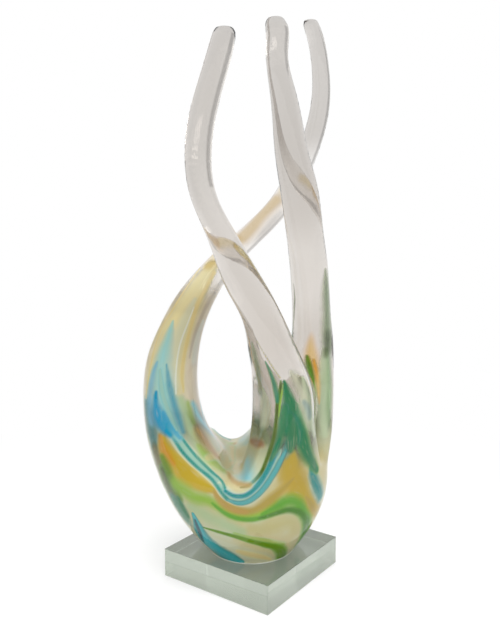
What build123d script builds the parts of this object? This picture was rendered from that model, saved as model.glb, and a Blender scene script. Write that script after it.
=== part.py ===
"""Glass wave sculpture: a cased, colour-swirled glass bowl whose rim is cut into three drawn-out arms,
ground flat at its foot and bonded to a square glass block.

Millimetres, +Z up. The origin is the centre of the block's underside, and X and Y follow its edges.
The drawn glass has its own u and v axes, turned about Z on the block: u runs along its wide face.
"""

import os
from math import cos, hypot, pi, radians, sin, sqrt

from build123d import *

# Block and bond
base_side = 90.0
base_height = 20.0
base_bevel = 0.4
bond_thickness = 0.4
bond_margin = 0.6
sculpture_turn = 36.0

# Bowl: an oval foot that swells to an oval rim, where the three cuts begin
foot_width = 63.0
foot_depth = 66.0
foot_shift = -0.5
rim_width = 121.0
rim_depth = 96.0
rim_shift = -7.0
bowl_height = 59.6
bowl_fullness = 0.85
bowl_steps = 5
casing_wall = 3.0
colour_wall = 1.6

# Colour bands: wavy lines round the bowl, as shares of its height, that part one colour from the next
band_names = (
    "cream_foot_band",
    "lower_green_band",
    "cream_belly_band",
    "upper_green_band",
    "amber_band",
    "blue_rim_band",
)
band_lines = (0.28, 0.37, 0.54, 0.67, 0.79)
wave_swing = 3.0
wave_length = 84.0
wave_phase = 1.1
wave_points = 11
cut_margin = 6.0

# Cuts: three sheared slits that meet at the crotch, and the rise over which an arm rounds off above them
crotch_centre = (-10.0, 0.0)
front_cut = -88.0
right_cut = -12.0
back_cut = 94.0
slit_half_gap = 1.2
slit_sharpness = 9.0
shoulder_rise = 60.0
shoulder_ease = 2.3
shoulder_shares = (0.0, 0.12, 0.28, 0.5, 1.0)
section_points = 24


class Arm:
    """One arm: the two cuts beside it, its section at the crotch and shoulder, and its drawn-out route.

    A route row is a share of the arm's rise above the shoulder, u, v, width across the wide face and depth.
    """

    def __init__(self, name, cuts, root, middle, corners, sharpness, tip_round, rise, route):
        self.name = name
        self.cuts = cuts
        self.root = root
        self.middle = middle
        self.corners = corners
        self.sharpness = sharpness
        self.tip_round = tip_round
        self.rise = rise
        self.route = route


left_arm = Arm(
    name="left_arm",
    cuts=(front_cut, right_cut),
    root=(22, -21),
    middle=(21.5, -28),
    corners=[(-2.5, -13), (14.5, -47.5), (39, -41), (44, -13)],
    sharpness=6.0,
    tip_round=3.6,
    rise=241.0,
    route=[
        (0.105, 14.8, -31.5, 32.5, 31.5),
        (0.2, 7.4, -34, 26, 28),
        (0.28, -2.4, -33, 25, 25),
        (0.365, -12.6, -31, 21.5, 22),
        (0.45, -22.5, -26.5, 18.3, 19),
        (0.54, -32.5, -20, 17.5, 18),
        (0.645, -36.3, -13, 18.3, 18),
        (0.75, -34.2, -8, 18.5, 18),
        (0.865, -27, -6, 17.6, 17),
        (0.955, -20.5, -7, 16.5, 15.5),
        (1, -17.8, -8, 14.5, 14),
    ],
)

centre_arm = Arm(
    name="centre_arm",
    cuts=(right_cut, back_cut),
    root=(24, 20),
    middle=(41, 20.5),
    corners=[(17, 4), (25, 41), (52, 40), (62, 20), (57, -3)],
    sharpness=6.0,
    tip_round=3.6,
    rise=241.0,
    route=[
        (0.105, 44, 17.5, 31.5, 31.5),
        (0.18, 43.4, 14, 28.4, 29),
        (0.27, 41.7, 8, 27.2, 27.5),
        (0.36, 39.4, 2, 26.7, 27),
        (0.435, 36.5, -4, 25.8, 26),
        (0.52, 33.4, -9, 25.8, 25),
        (0.585, 30.3, -13, 24.9, 24),
        (0.665, 25.7, -18, 21.9, 22),
        (0.745, 22.7, -22, 19.3, 19.5),
        (0.815, 19.6, -25, 16.8, 17),
        (0.915, 15.6, -27.5, 14.3, 14.5),
        (1, 13, -28, 13.2, 13.2),
    ],
)

right_arm = Arm(
    name="right_arm",
    cuts=(back_cut, front_cut),
    root=(-38, 0),
    middle=(-58.5, 4),
    corners=[(-39.5, -20), (-39.5, 28), (-77.5, 28), (-77.5, -20)],
    sharpness=2.3,
    tip_round=1.8,
    rise=252.0,
    route=[
        (0.07, -57, 7, 35, 38),
        (0.15, -51.2, 12, 30.5, 32),
        (0.23, -41.7, 18, 25.8, 27),
        (0.32, -25.3, 28, 20.3, 22),
        (0.435, 4.5, 36, 18, 19),
        (0.51, 22, 38, 17.5, 17.5),
        (0.62, 37.1, 36, 16, 16),
        (0.74, 47.4, 29, 14.2, 14.2),
        (0.82, 49.4, 23, 13.2, 13.2),
        (0.9, 47.4, 18, 12, 12),
        (1, 39.8, 14, 11, 11),
    ],
)

# Flames: tapering streaks of the bowl's colour that run up inside an arm from the crotch
flame_inset = 0.5
flame_tip = 0.8
flame_taper = 0.7


class Flame:
    """One streak: its arm, the side of the arm it lies on, its size at the crotch and the levels it climbs."""

    def __init__(self, name, arm, direction, width, thickness, levels):
        self.name = name
        self.arm = arm
        self.direction = direction
        self.width = width
        self.thickness = thickness
        self.levels = levels


flames = [
    Flame("green_flame", left_arm, direction=-60, width=15.0, thickness=3.2, levels=6),
    Flame("amber_flame", centre_arm, direction=35, width=13.0, thickness=3.2, levels=8),
    Flame("gold_flame", right_arm, direction=-85, width=9.0, thickness=3.0, levels=9),
    Flame("blue_flame", right_arm, direction=-160, width=12.0, thickness=3.0, levels=7),
]

# Levels that the pieces share
foot_level = base_height + bond_thickness
rim_level = foot_level + bowl_height
u_axis = Vector(cos(radians(sculpture_turn)), sin(radians(sculpture_turn)), 0)


def level_plane(height):
    """Level plane with the drawn glass's u and v axes."""
    return Plane(origin=(0, 0, height), x_dir=u_axis, z_dir=(0, 0, 1))


def front_plane():
    """Upright plane along the wide face: its axes are u and Z."""
    return Plane(origin=(0, 0, 0), x_dir=u_axis, z_dir=u_axis.cross(Vector(0, 0, 1)))


def polar(angle, radius, centre):
    return (centre[0] + radius * cos(angle), centre[1] + radius * sin(angle))


def mix(first, second, share):
    return first + (second - first) * share


# Bowl


def bowl_oval(share, wall):
    """Centre and half sizes of the bowl's oval at a share of its height, drawn in by a wall."""
    swell = sin(share * pi / 2) ** bowl_fullness
    centre = mix(foot_shift, rim_shift, share)
    half_width = mix(foot_width, rim_width, swell) / 2 - wall
    half_depth = mix(foot_depth, rim_depth, swell) / 2 - wall
    return centre, half_width, half_depth


def bowl_loft(wall, height):
    """Solid bowl shape, drawn in by a wall, from the ground foot up to a height."""
    with BuildPart() as body:
        for step in range(bowl_steps + 1):
            rise = height * step / bowl_steps
            centre, half_width, half_depth = bowl_oval(rise / bowl_height, wall)
            with BuildSketch(level_plane(foot_level + rise)):
                with Locations((centre, 0)):
                    Ellipse(half_width, half_depth)
        loft()
    return body.part


def wave_line(height, swing):
    """Points of a wavy line across the wide face."""
    points = []
    for step in range(wave_points):
        u = mix(-rim_width, rim_width, step / (wave_points - 1))
        points.append((u, height + swing * sin(2 * pi * u / wave_length + wave_phase)))
    return points


def colour_band(layer, lower_line, upper_line):
    """The stretch of the colour layer between two lines."""
    with BuildPart() as band:
        add(layer)
        with BuildSketch(front_plane()):
            with BuildLine():
                lower_edge = Spline(*lower_line)
                upper_edge = Spline(*upper_line)
                Line(lower_edge @ 0, upper_edge @ 0)
                Line(lower_edge @ 1, upper_edge @ 1)
            make_face()
        extrude(amount=rim_width, both=True, mode=Mode.INTERSECT)
    return band.part


# Arms


def soft_min(distances, sharpness):
    """Rounded least of several distances: the higher the sharpness, the tighter the corner."""
    return sum(distance**-sharpness for distance in distances) ** (-1 / sharpness)


def crotch_radius(arm, angle):
    """Distance from the arm's root to the bowl's rim or to the nearer slit wall."""
    du, dv = cos(angle), sin(angle)
    centre, half_width, half_depth = bowl_oval(1.0, 0.0)
    u, v = arm.root[0] - centre, arm.root[1]
    a = (du / half_width) ** 2 + (dv / half_depth) ** 2
    b = u * du / half_width**2 + v * dv / half_depth**2
    c = (u / half_width) ** 2 + (v / half_depth) ** 2 - 1
    distances = [(sqrt(b * b - a * c) - b) / a]
    for cut, side in zip(arm.cuts, (-90, 90)):
        normal = radians(cut + side)
        facing = cos(normal) * du + sin(normal) * dv
        to_crotch = (crotch_centre[0] - arm.root[0], crotch_centre[1] - arm.root[1])
        across = cos(normal) * to_crotch[0] + sin(normal) * to_crotch[1]
        if facing > 0:
            distances.append((across - slit_half_gap) / facing)
    return soft_min(distances, slit_sharpness)


def shoulder_radius(arm, angle):
    """Distance from the arm's middle to the rounded polygon of its shoulder."""
    distances = []
    for (u0, v0), (u1, v1) in zip(arm.corners, arm.corners[1:] + arm.corners[:1]):
        length = hypot(u1 - u0, v1 - v0)
        normal_u, normal_v = (v1 - v0) / length, (u0 - u1) / length
        across = normal_u * (u0 - arm.middle[0]) + normal_v * (v0 - arm.middle[1])
        facing = normal_u * cos(angle) + normal_v * sin(angle)
        if across * facing > 0:
            distances.append(across / facing)
    return soft_min(distances, arm.sharpness)


def rod_radius(arm, row, angle):
    """Distance from the route to the edge of the round rod, cut level where the rod leans."""
    before = arm.route[max(row - 1, 0)]
    after = arm.route[min(row + 1, len(arm.route) - 1)]
    climb = arm.rise * (after[0] - before[0])
    lean_u, lean_v = (after[1] - before[1]) / climb, (after[2] - before[2]) / climb
    across, deep = arm.route[row][3], arm.route[row][4]
    upright = 1 / hypot(2 * cos(angle) / across, 2 * sin(angle) / deep)
    along = cos(angle) * lean_u + sin(angle) * lean_v
    return upright / sqrt(1 - along**2 / (1 + lean_u**2 + lean_v**2))


def arm_sections(arm):
    """Height, centre and radius function of each level section, from the crotch to the tip."""
    sections = []
    for share in shoulder_shares:
        ease = 1 - (1 - share) ** shoulder_ease
        centre = (mix(arm.root[0], arm.middle[0], ease), mix(arm.root[1], arm.middle[1], ease))

        def radius(angle, ease=ease):
            return mix(crotch_radius(arm, angle), shoulder_radius(arm, angle), ease)

        sections.append((rim_level + shoulder_rise * share, centre, radius))
    for row, (share, u, v, across, deep) in enumerate(arm.route):

        def radius(angle, row=row):
            return rod_radius(arm, row, angle)

        sections.append((rim_level + shoulder_rise + arm.rise * share, (u, v), radius))
    return sections


def flame_solid(flame):
    """Streak of colour inside an arm, on the side that faces its direction, over its first few levels."""
    angle = radians(flame.direction)
    with BuildPart() as streak:
        for step, (height, centre, radius) in enumerate(arm_sections(flame.arm)[: flame.levels]):
            taper = (1 - step / (flame.levels - 1)) ** flame_taper
            half_width = max(flame.width / 2 * taper, flame_tip)
            half_thickness = max(flame.thickness / 2 * taper, flame_tip / 2)
            with BuildSketch(level_plane(height)):
                with Locations(polar(angle, flame_inset * radius(angle), centre)):
                    Ellipse(half_width, half_thickness, rotation=flame.direction + 90)
        loft()
    return streak.part


def arm_solid(arm, streaks):
    """One arm with a rounded tip, less the space that its flames fill."""
    with BuildPart() as limb:
        for height, centre, radius in arm_sections(arm):
            outline = []
            for step in range(section_points):
                angle = 2 * pi * step / section_points
                outline.append(polar(angle, radius(angle), centre))
            with BuildSketch(level_plane(height)):
                with BuildLine():
                    Spline(*outline, periodic=True)
                make_face()
        loft()
        fillet(limb.edges().group_by(Axis.Z)[-1], radius=arm.tip_round)
        for streak in streaks:
            add(streak, mode=Mode.SUBTRACT)
    return limb.part


# Square block with polished bevels
with BuildPart() as base_block:
    Box(base_side, base_side, base_height, align=(Align.CENTER, Align.CENTER, Align.MIN))
    chamfer(base_block.edges(), length=base_bevel)

# Cured film that bonds the ground foot to the block
with BuildPart() as bond_film:
    foot_centre, foot_half_width, foot_half_depth = bowl_oval(0.0, bond_margin)
    with BuildSketch(level_plane(base_height)):
        with Locations((foot_centre, 0)):
            Ellipse(foot_half_width, foot_half_depth)
    extrude(amount=bond_thickness)

# Bowl: clear core, colour layer round it and clear casing over both, all ground level at the foot
inner_height = bowl_height - casing_wall
cased_shape = bowl_loft(casing_wall, inner_height)
core_shape = bowl_loft(casing_wall + colour_wall, inner_height)

with BuildPart() as bowl_casing:
    add(bowl_loft(0.0, bowl_height))
    add(cased_shape, mode=Mode.SUBTRACT)

with BuildPart() as bowl_core:
    add(core_shape)

with BuildPart() as colour_layer:
    add(cased_shape)
    add(core_shape, mode=Mode.SUBTRACT)

pieces = {
    "base_block": base_block.part,
    "bond_film": bond_film.part,
    "bowl_casing": bowl_casing.part,
    "bowl_core": bowl_core.part,
}

band_edges = [wave_line(foot_level - cut_margin, 0)]
for share in band_lines:
    band_edges.append(wave_line(foot_level + bowl_height * share, wave_swing))
band_edges.append(wave_line(rim_level + cut_margin, 0))
for band_name, lower_line, upper_line in zip(band_names, band_edges, band_edges[1:]):
    pieces[band_name] = colour_band(colour_layer.part, lower_line, upper_line)

# Arms and the flames of colour inside them
for flame in flames:
    pieces[flame.name] = flame_solid(flame)
for arm in (left_arm, centre_arm, right_arm):
    pieces[arm.name] = arm_solid(arm, [pieces[flame.name] for flame in flames if flame.arm is arm])

os.makedirs("parts", exist_ok=True)
for name, piece in pieces.items():
    piece.label = name
    export_step(piece, f"parts/{name}.step")
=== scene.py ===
"""Looks of the glass wave sculpture: one fused skin of clear glass over the bowl and its three arms, the
swirl of colour cased inside it, the bond under its ground foot and the clear block that it stands on.

Lengths in the script are millimetres in the drawn glass's own axes (u along its wide face, v away from the
camera, z up), and become metres in the part's frame when a mesh is made.
"""

from math import cos, pi, radians, sin

import bmesh
import bpy
import numpy as np
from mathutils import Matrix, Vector
from mathutils.bvhtree import BVHTree


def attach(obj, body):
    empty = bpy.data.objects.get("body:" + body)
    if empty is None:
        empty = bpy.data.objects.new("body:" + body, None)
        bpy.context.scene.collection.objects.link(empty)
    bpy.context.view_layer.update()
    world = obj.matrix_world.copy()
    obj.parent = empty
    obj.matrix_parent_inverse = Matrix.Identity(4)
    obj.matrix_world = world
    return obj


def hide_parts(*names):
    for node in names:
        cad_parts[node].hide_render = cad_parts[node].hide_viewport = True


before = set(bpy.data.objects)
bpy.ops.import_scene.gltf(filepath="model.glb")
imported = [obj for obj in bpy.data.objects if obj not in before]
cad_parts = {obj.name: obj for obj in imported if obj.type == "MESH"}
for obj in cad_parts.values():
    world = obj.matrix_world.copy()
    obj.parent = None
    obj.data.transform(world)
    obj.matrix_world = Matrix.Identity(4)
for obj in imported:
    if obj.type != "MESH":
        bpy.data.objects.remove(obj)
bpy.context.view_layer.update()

# The drawn glass is turned on its block by this angle, and its axes in the part's frame follow from that
MM = 0.001
TURN = radians(36.0)
AHEAD = (-sin(TURN), cos(TURN), 0.0)
LEFT = (-cos(TURN), -sin(TURN), 0.0)
UP = (0.0, 0.0, 1.0)

ARMS = ("left_arm", "centre_arm", "right_arm")
BANDS = (
    "cream_foot_band",
    "lower_green_band",
    "cream_belly_band",
    "upper_green_band",
    "amber_band",
    "blue_rim_band",
)
FLAMES = ("green_flame", "amber_flame", "gold_flame", "blue_flame")

# Camera, as the photograph has it: focal length in pixels, and the size of a pixel at the object
PHOTO_HEIGHT = 625.0
PHOTO_CENTRE = (250.0, 312.5)
FOCAL_PIXELS = 680.0
SENSOR = 36.0
CAMERA_PITCH = radians(6.27)
CAMERA_SPOT = (-1.5, -477.5, 242.2)
PIXEL = 0.66

# Skin: grid pitch and its margin in cells, and the rays and smoothing passes of each level section
GRID = 1.25
GRID_MARGIN = 4.0
RAYS = 96
RAY_REACH = 150.0
END_GAP = 0.05
LENGTH_PASSES = 3
ROUND_PASSES = 1
FIELD_LIMIT = 5.0

# Soft joint between bowl and arms, the heights where it sets in and ends, and the mesh's evening out
BLEND_WIDTH = 2.4
BLEND_LOW = (30.0, 48.0)
BLEND_HIGH = (105.0, 150.0)
BLUR_REACH = 3.0
RELAX_PASSES = 6
RELAX_STRENGTH = 0.5
RELAX_REVERSE = 1.03

# Slits: their floors rise towards the back and the right, and are hollow across. Each slit has its middle,
# in u at the back and in v at the right, and the stretch along it where the floor rises
SLIT_RISE = 5.5
SLIT_HOLLOW = 18.0
SLIT_LIMIT = 18.0
BACK_SLIT = (-15.0, (-15.0, 28.0))
RIGHT_SLIT = (-10.0, (15.0, 45.0))
WEB_LEAN = 0.4

# Flanks that stand out a little more than the level sections: side, swell, and the heights between which it
# rises and ends
SWELL_SIDE = (25.0, 50.0)
SWELLS = (
    (-1.0, 2.0, (60.0, 84.0), (92.0, 150.0)),
    (1.0, 0.9, (15.0, 45.0), (100.0, 135.0)),
)

# Colour layer: its depth under the skin, and its foot
LAYER_DEPTH = 2.4
FOOT_RISE = (0.5, 6.0)
FOOT_GAP = 0.15

# Cream ground: the middle of the fork, where faces count as outer ones, and where the ground fades out
CROTCH = (-10.0, 0.0)
OUTER_FACE = (-0.08, 0.14)
VEIL_FADE = (95.0, 130.0)
RIGHT_FADE = (86.0, 112.0)
RIGHT_LIMB = (8.0, 20.0)
RIGHT_RIM = (38.0, 47.0)
RIGHT_BACK = (0.0, 15.0)
INNER_VEIL = 0.92
LIMB_VEIL = 0.95
LIMB_EDGE = (16.0, 24.0)
LIMB_TOP = (185.0, 215.0)

# Far side: up to where it repeats the near side's ribbons, and the waves that bend them: the depth over which
# these set in, and each one's swing, length and start
FAR_SIDE_TOP = 190.0
RIGHT_FAR_TOP = 95.0
FAR_SWAY = (0.0, 30.0)
FAR_SWING_ALONG = (5.0, 17.0, 0.0)
FAR_SWING_UP = (6.0, 21.0, 0.6)

# Ribbons: steps between two of their points, thinnest half width, how many half widths out one still covers,
# the cover that a face needs to be kept, and the limits of the search. FAR stands for any long distance
RIBBON_STEPS = 8
THINNEST = 0.4
COVER_REACH = 1.25
LEAST_COVER = 0.02
FAR = 9.0
SEARCH_BOX = 30.0
PAST_SKIN = 0.01
LEAST_COSINE_SQUARED = 0.05
TINY = 1e-9

# Swirl's material: scale and detail of each noise, and the ranges over which tones change, height in metres
DRIFT_NOISE = (55.0, 3.0)
RIBBON_DRIFT = 0.35
RIPPLE_NOISE = (170.0, 2.0)
RIBBON_RIPPLE = 0.15
CLOUD_NOISE = (38.0, 4.0)
CLOUD_RAMP = (0.35, 0.65)
MIST_RISE = (0.080, 0.115)
CORE_RAMP = (0.9, 0.25)
STREAK_STRETCH = 20.0
STREAK_NOISE = (5.0, 2.0)
STREAK_RAMP = (0.55, 0.75)
STREAK_SHARE = 0.2
SWIRL_ROUGHNESS = 0.6

# Clear glass: waviness, and tints by height in metres, which are painted shade for the dim room seen through
# the arms, and the thin far arm where the arms cross
GLASS_IOR = 1.5
WAVE_NOISE = (45.0, 2.0)
WAVE_HEIGHT = 1.0
SKIN_WAVE = 0.15
PAINTED_SHADE_LOW = (0.12, 0.18)
PAINTED_SHADE_TINT = (0.84, 0.82, 0.80, 1.0)
PAINTED_SHADE_HIGH = (0.19, 0.31)
PAINTED_SHADE_END_TINT = (0.70, 0.685, 0.67, 1.0)
SMOKY_DENSITY = 25.0
SMOKY_COLOUR = (0.66, 0.59, 0.51, 1.0)
CROSSING_DEPTH = (4.0, 14.0)
CROSSING_START = (175.0, 205.0)
CROSSING_END = (290.0, 320.0)

# Block and bond
BLOCK_TINT = (0.465, 0.515, 0.44, 1.0)
BLOCK_WAVE = 0.02
BLOCK_ARRIS = 0.15
ARRIS_STEPS = 2
BOND_TINT = (0.86, 0.88, 0.80, 1.0)
BOND_CLOUD_TINT = (0.74, 0.77, 0.68, 1.0)
BOND_NOISE = (180.0, 3.0)
BOND_CLOUD = (0.42, 0.68)
BOND_ROUGHNESS = 0.3
BOND_GAP = 0.03
BOND_SPREAD = 1.03

# White table, in metres: it shows pure white from FLOOR_FADE on
FLOOR_REACH = 40.0
FLOOR_SIDES = 64
FLOOR_LEVEL = -0.0002
FLOOR_TONE = (0.9, 0.9, 0.9, 1.0)
FLOOR_GLOW = 0.35
FLOOR_FADE = (0.04, 0.45)
FLOOR_ROUGHNESS = 0.9
BLACK = (0.0, 0.0, 0.0, 1.0)
CLEAR = (1.0, 1.0, 1.0, 1.0)

# White room: dimmer behind the camera, with one grey card ahead at the left. Ranges are cosines to an axis
ROOM_DIM = 0.35
ROOM_TURN = (-0.4, 0.3)
ROOM_RISE = (0.25, 0.8)
CARD_NEAR = (0.52, 0.64)
CARD_FAR = (0.80, 0.90)
CARD_SIDE = (0.1, 0.35)
CARD_SHADE = 0.4

# Soft boxes: name, place, aim, width, height and watts
LAMPS = (
    ("key_box", (130.0, -640.0, 620.0), (0.0, 0.0, 200.0), 180.0, 180.0, 0.6),
    ("top_box", (60.0, -260.0, 900.0), (0.0, 0.0, 100.0), 700.0, 500.0, 5.0),
    ("front_box", (0.0, -900.0, 560.0), (0.0, 0.0, 100.0), 900.0, 700.0, 2.2),
)


def colour(red, green, blue):
    """A colour as it looks on screen, 0 to 255, as linear values for a shader."""
    values = np.array([red, green, blue]) / 255.0
    linear = np.where(values <= 0.04045, values / 12.92, ((values + 0.055) / 1.055) ** 2.4)
    return (*linear.tolist(), 1.0)


CREAM = colour(228, 218, 166)
IVORY = colour(230, 232, 202)
PALE_GREEN = colour(192, 222, 176)
PALE_LIME = colour(222, 238, 202)
PALE_SEA = colour(172, 214, 196)
BEIGE = colour(222, 214, 152)
AMBER = colour(214, 184, 54)
ORANGE = colour(226, 156, 44)
SALMON = colour(214, 170, 88)
HONEY = colour(202, 174, 72)
LIME = colour(162, 208, 66)
GREEN = colour(106, 186, 42)
LEAF = colour(112, 160, 0)
GRASS = colour(74, 146, 0)
OLIVE = colour(86, 112, 8)
BRONZE = colour(124, 118, 60)
FOREST = colour(10, 138, 82)
JADE = colour(44, 150, 110)
FERN = colour(34, 160, 146)
REEF = colour(20, 158, 158)
TEAL = colour(22, 136, 140)
LAGOON = colour(66, 168, 196)
SEA = colour(96, 192, 196)
SKY = colour(166, 224, 224)
ICE = colour(148, 234, 255)
SURF = colour(62, 196, 206)
AZURE = colour(124, 198, 226)
BLUE = colour(0, 166, 210)
NAVY = colour(8, 82, 104)
WHITE = colour(246, 250, 240)
OCHRE = colour(248, 238, 174)
STRAW = colour(244, 226, 158)
GOLD = colour(255, 224, 146)
SAGE = colour(166, 184, 146)
MOSS = colour(122, 142, 92)
SLATE = colour(146, 180, 178)
BRICK = colour(190, 112, 70)
# Grey of painted shade on the left limb
SHADE_GREY = colour(162, 152, 144)
BLUSH = colour(230, 216, 198)
PEARL = colour(250, 240, 216)
MIST = colour(196, 206, 168)

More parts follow.
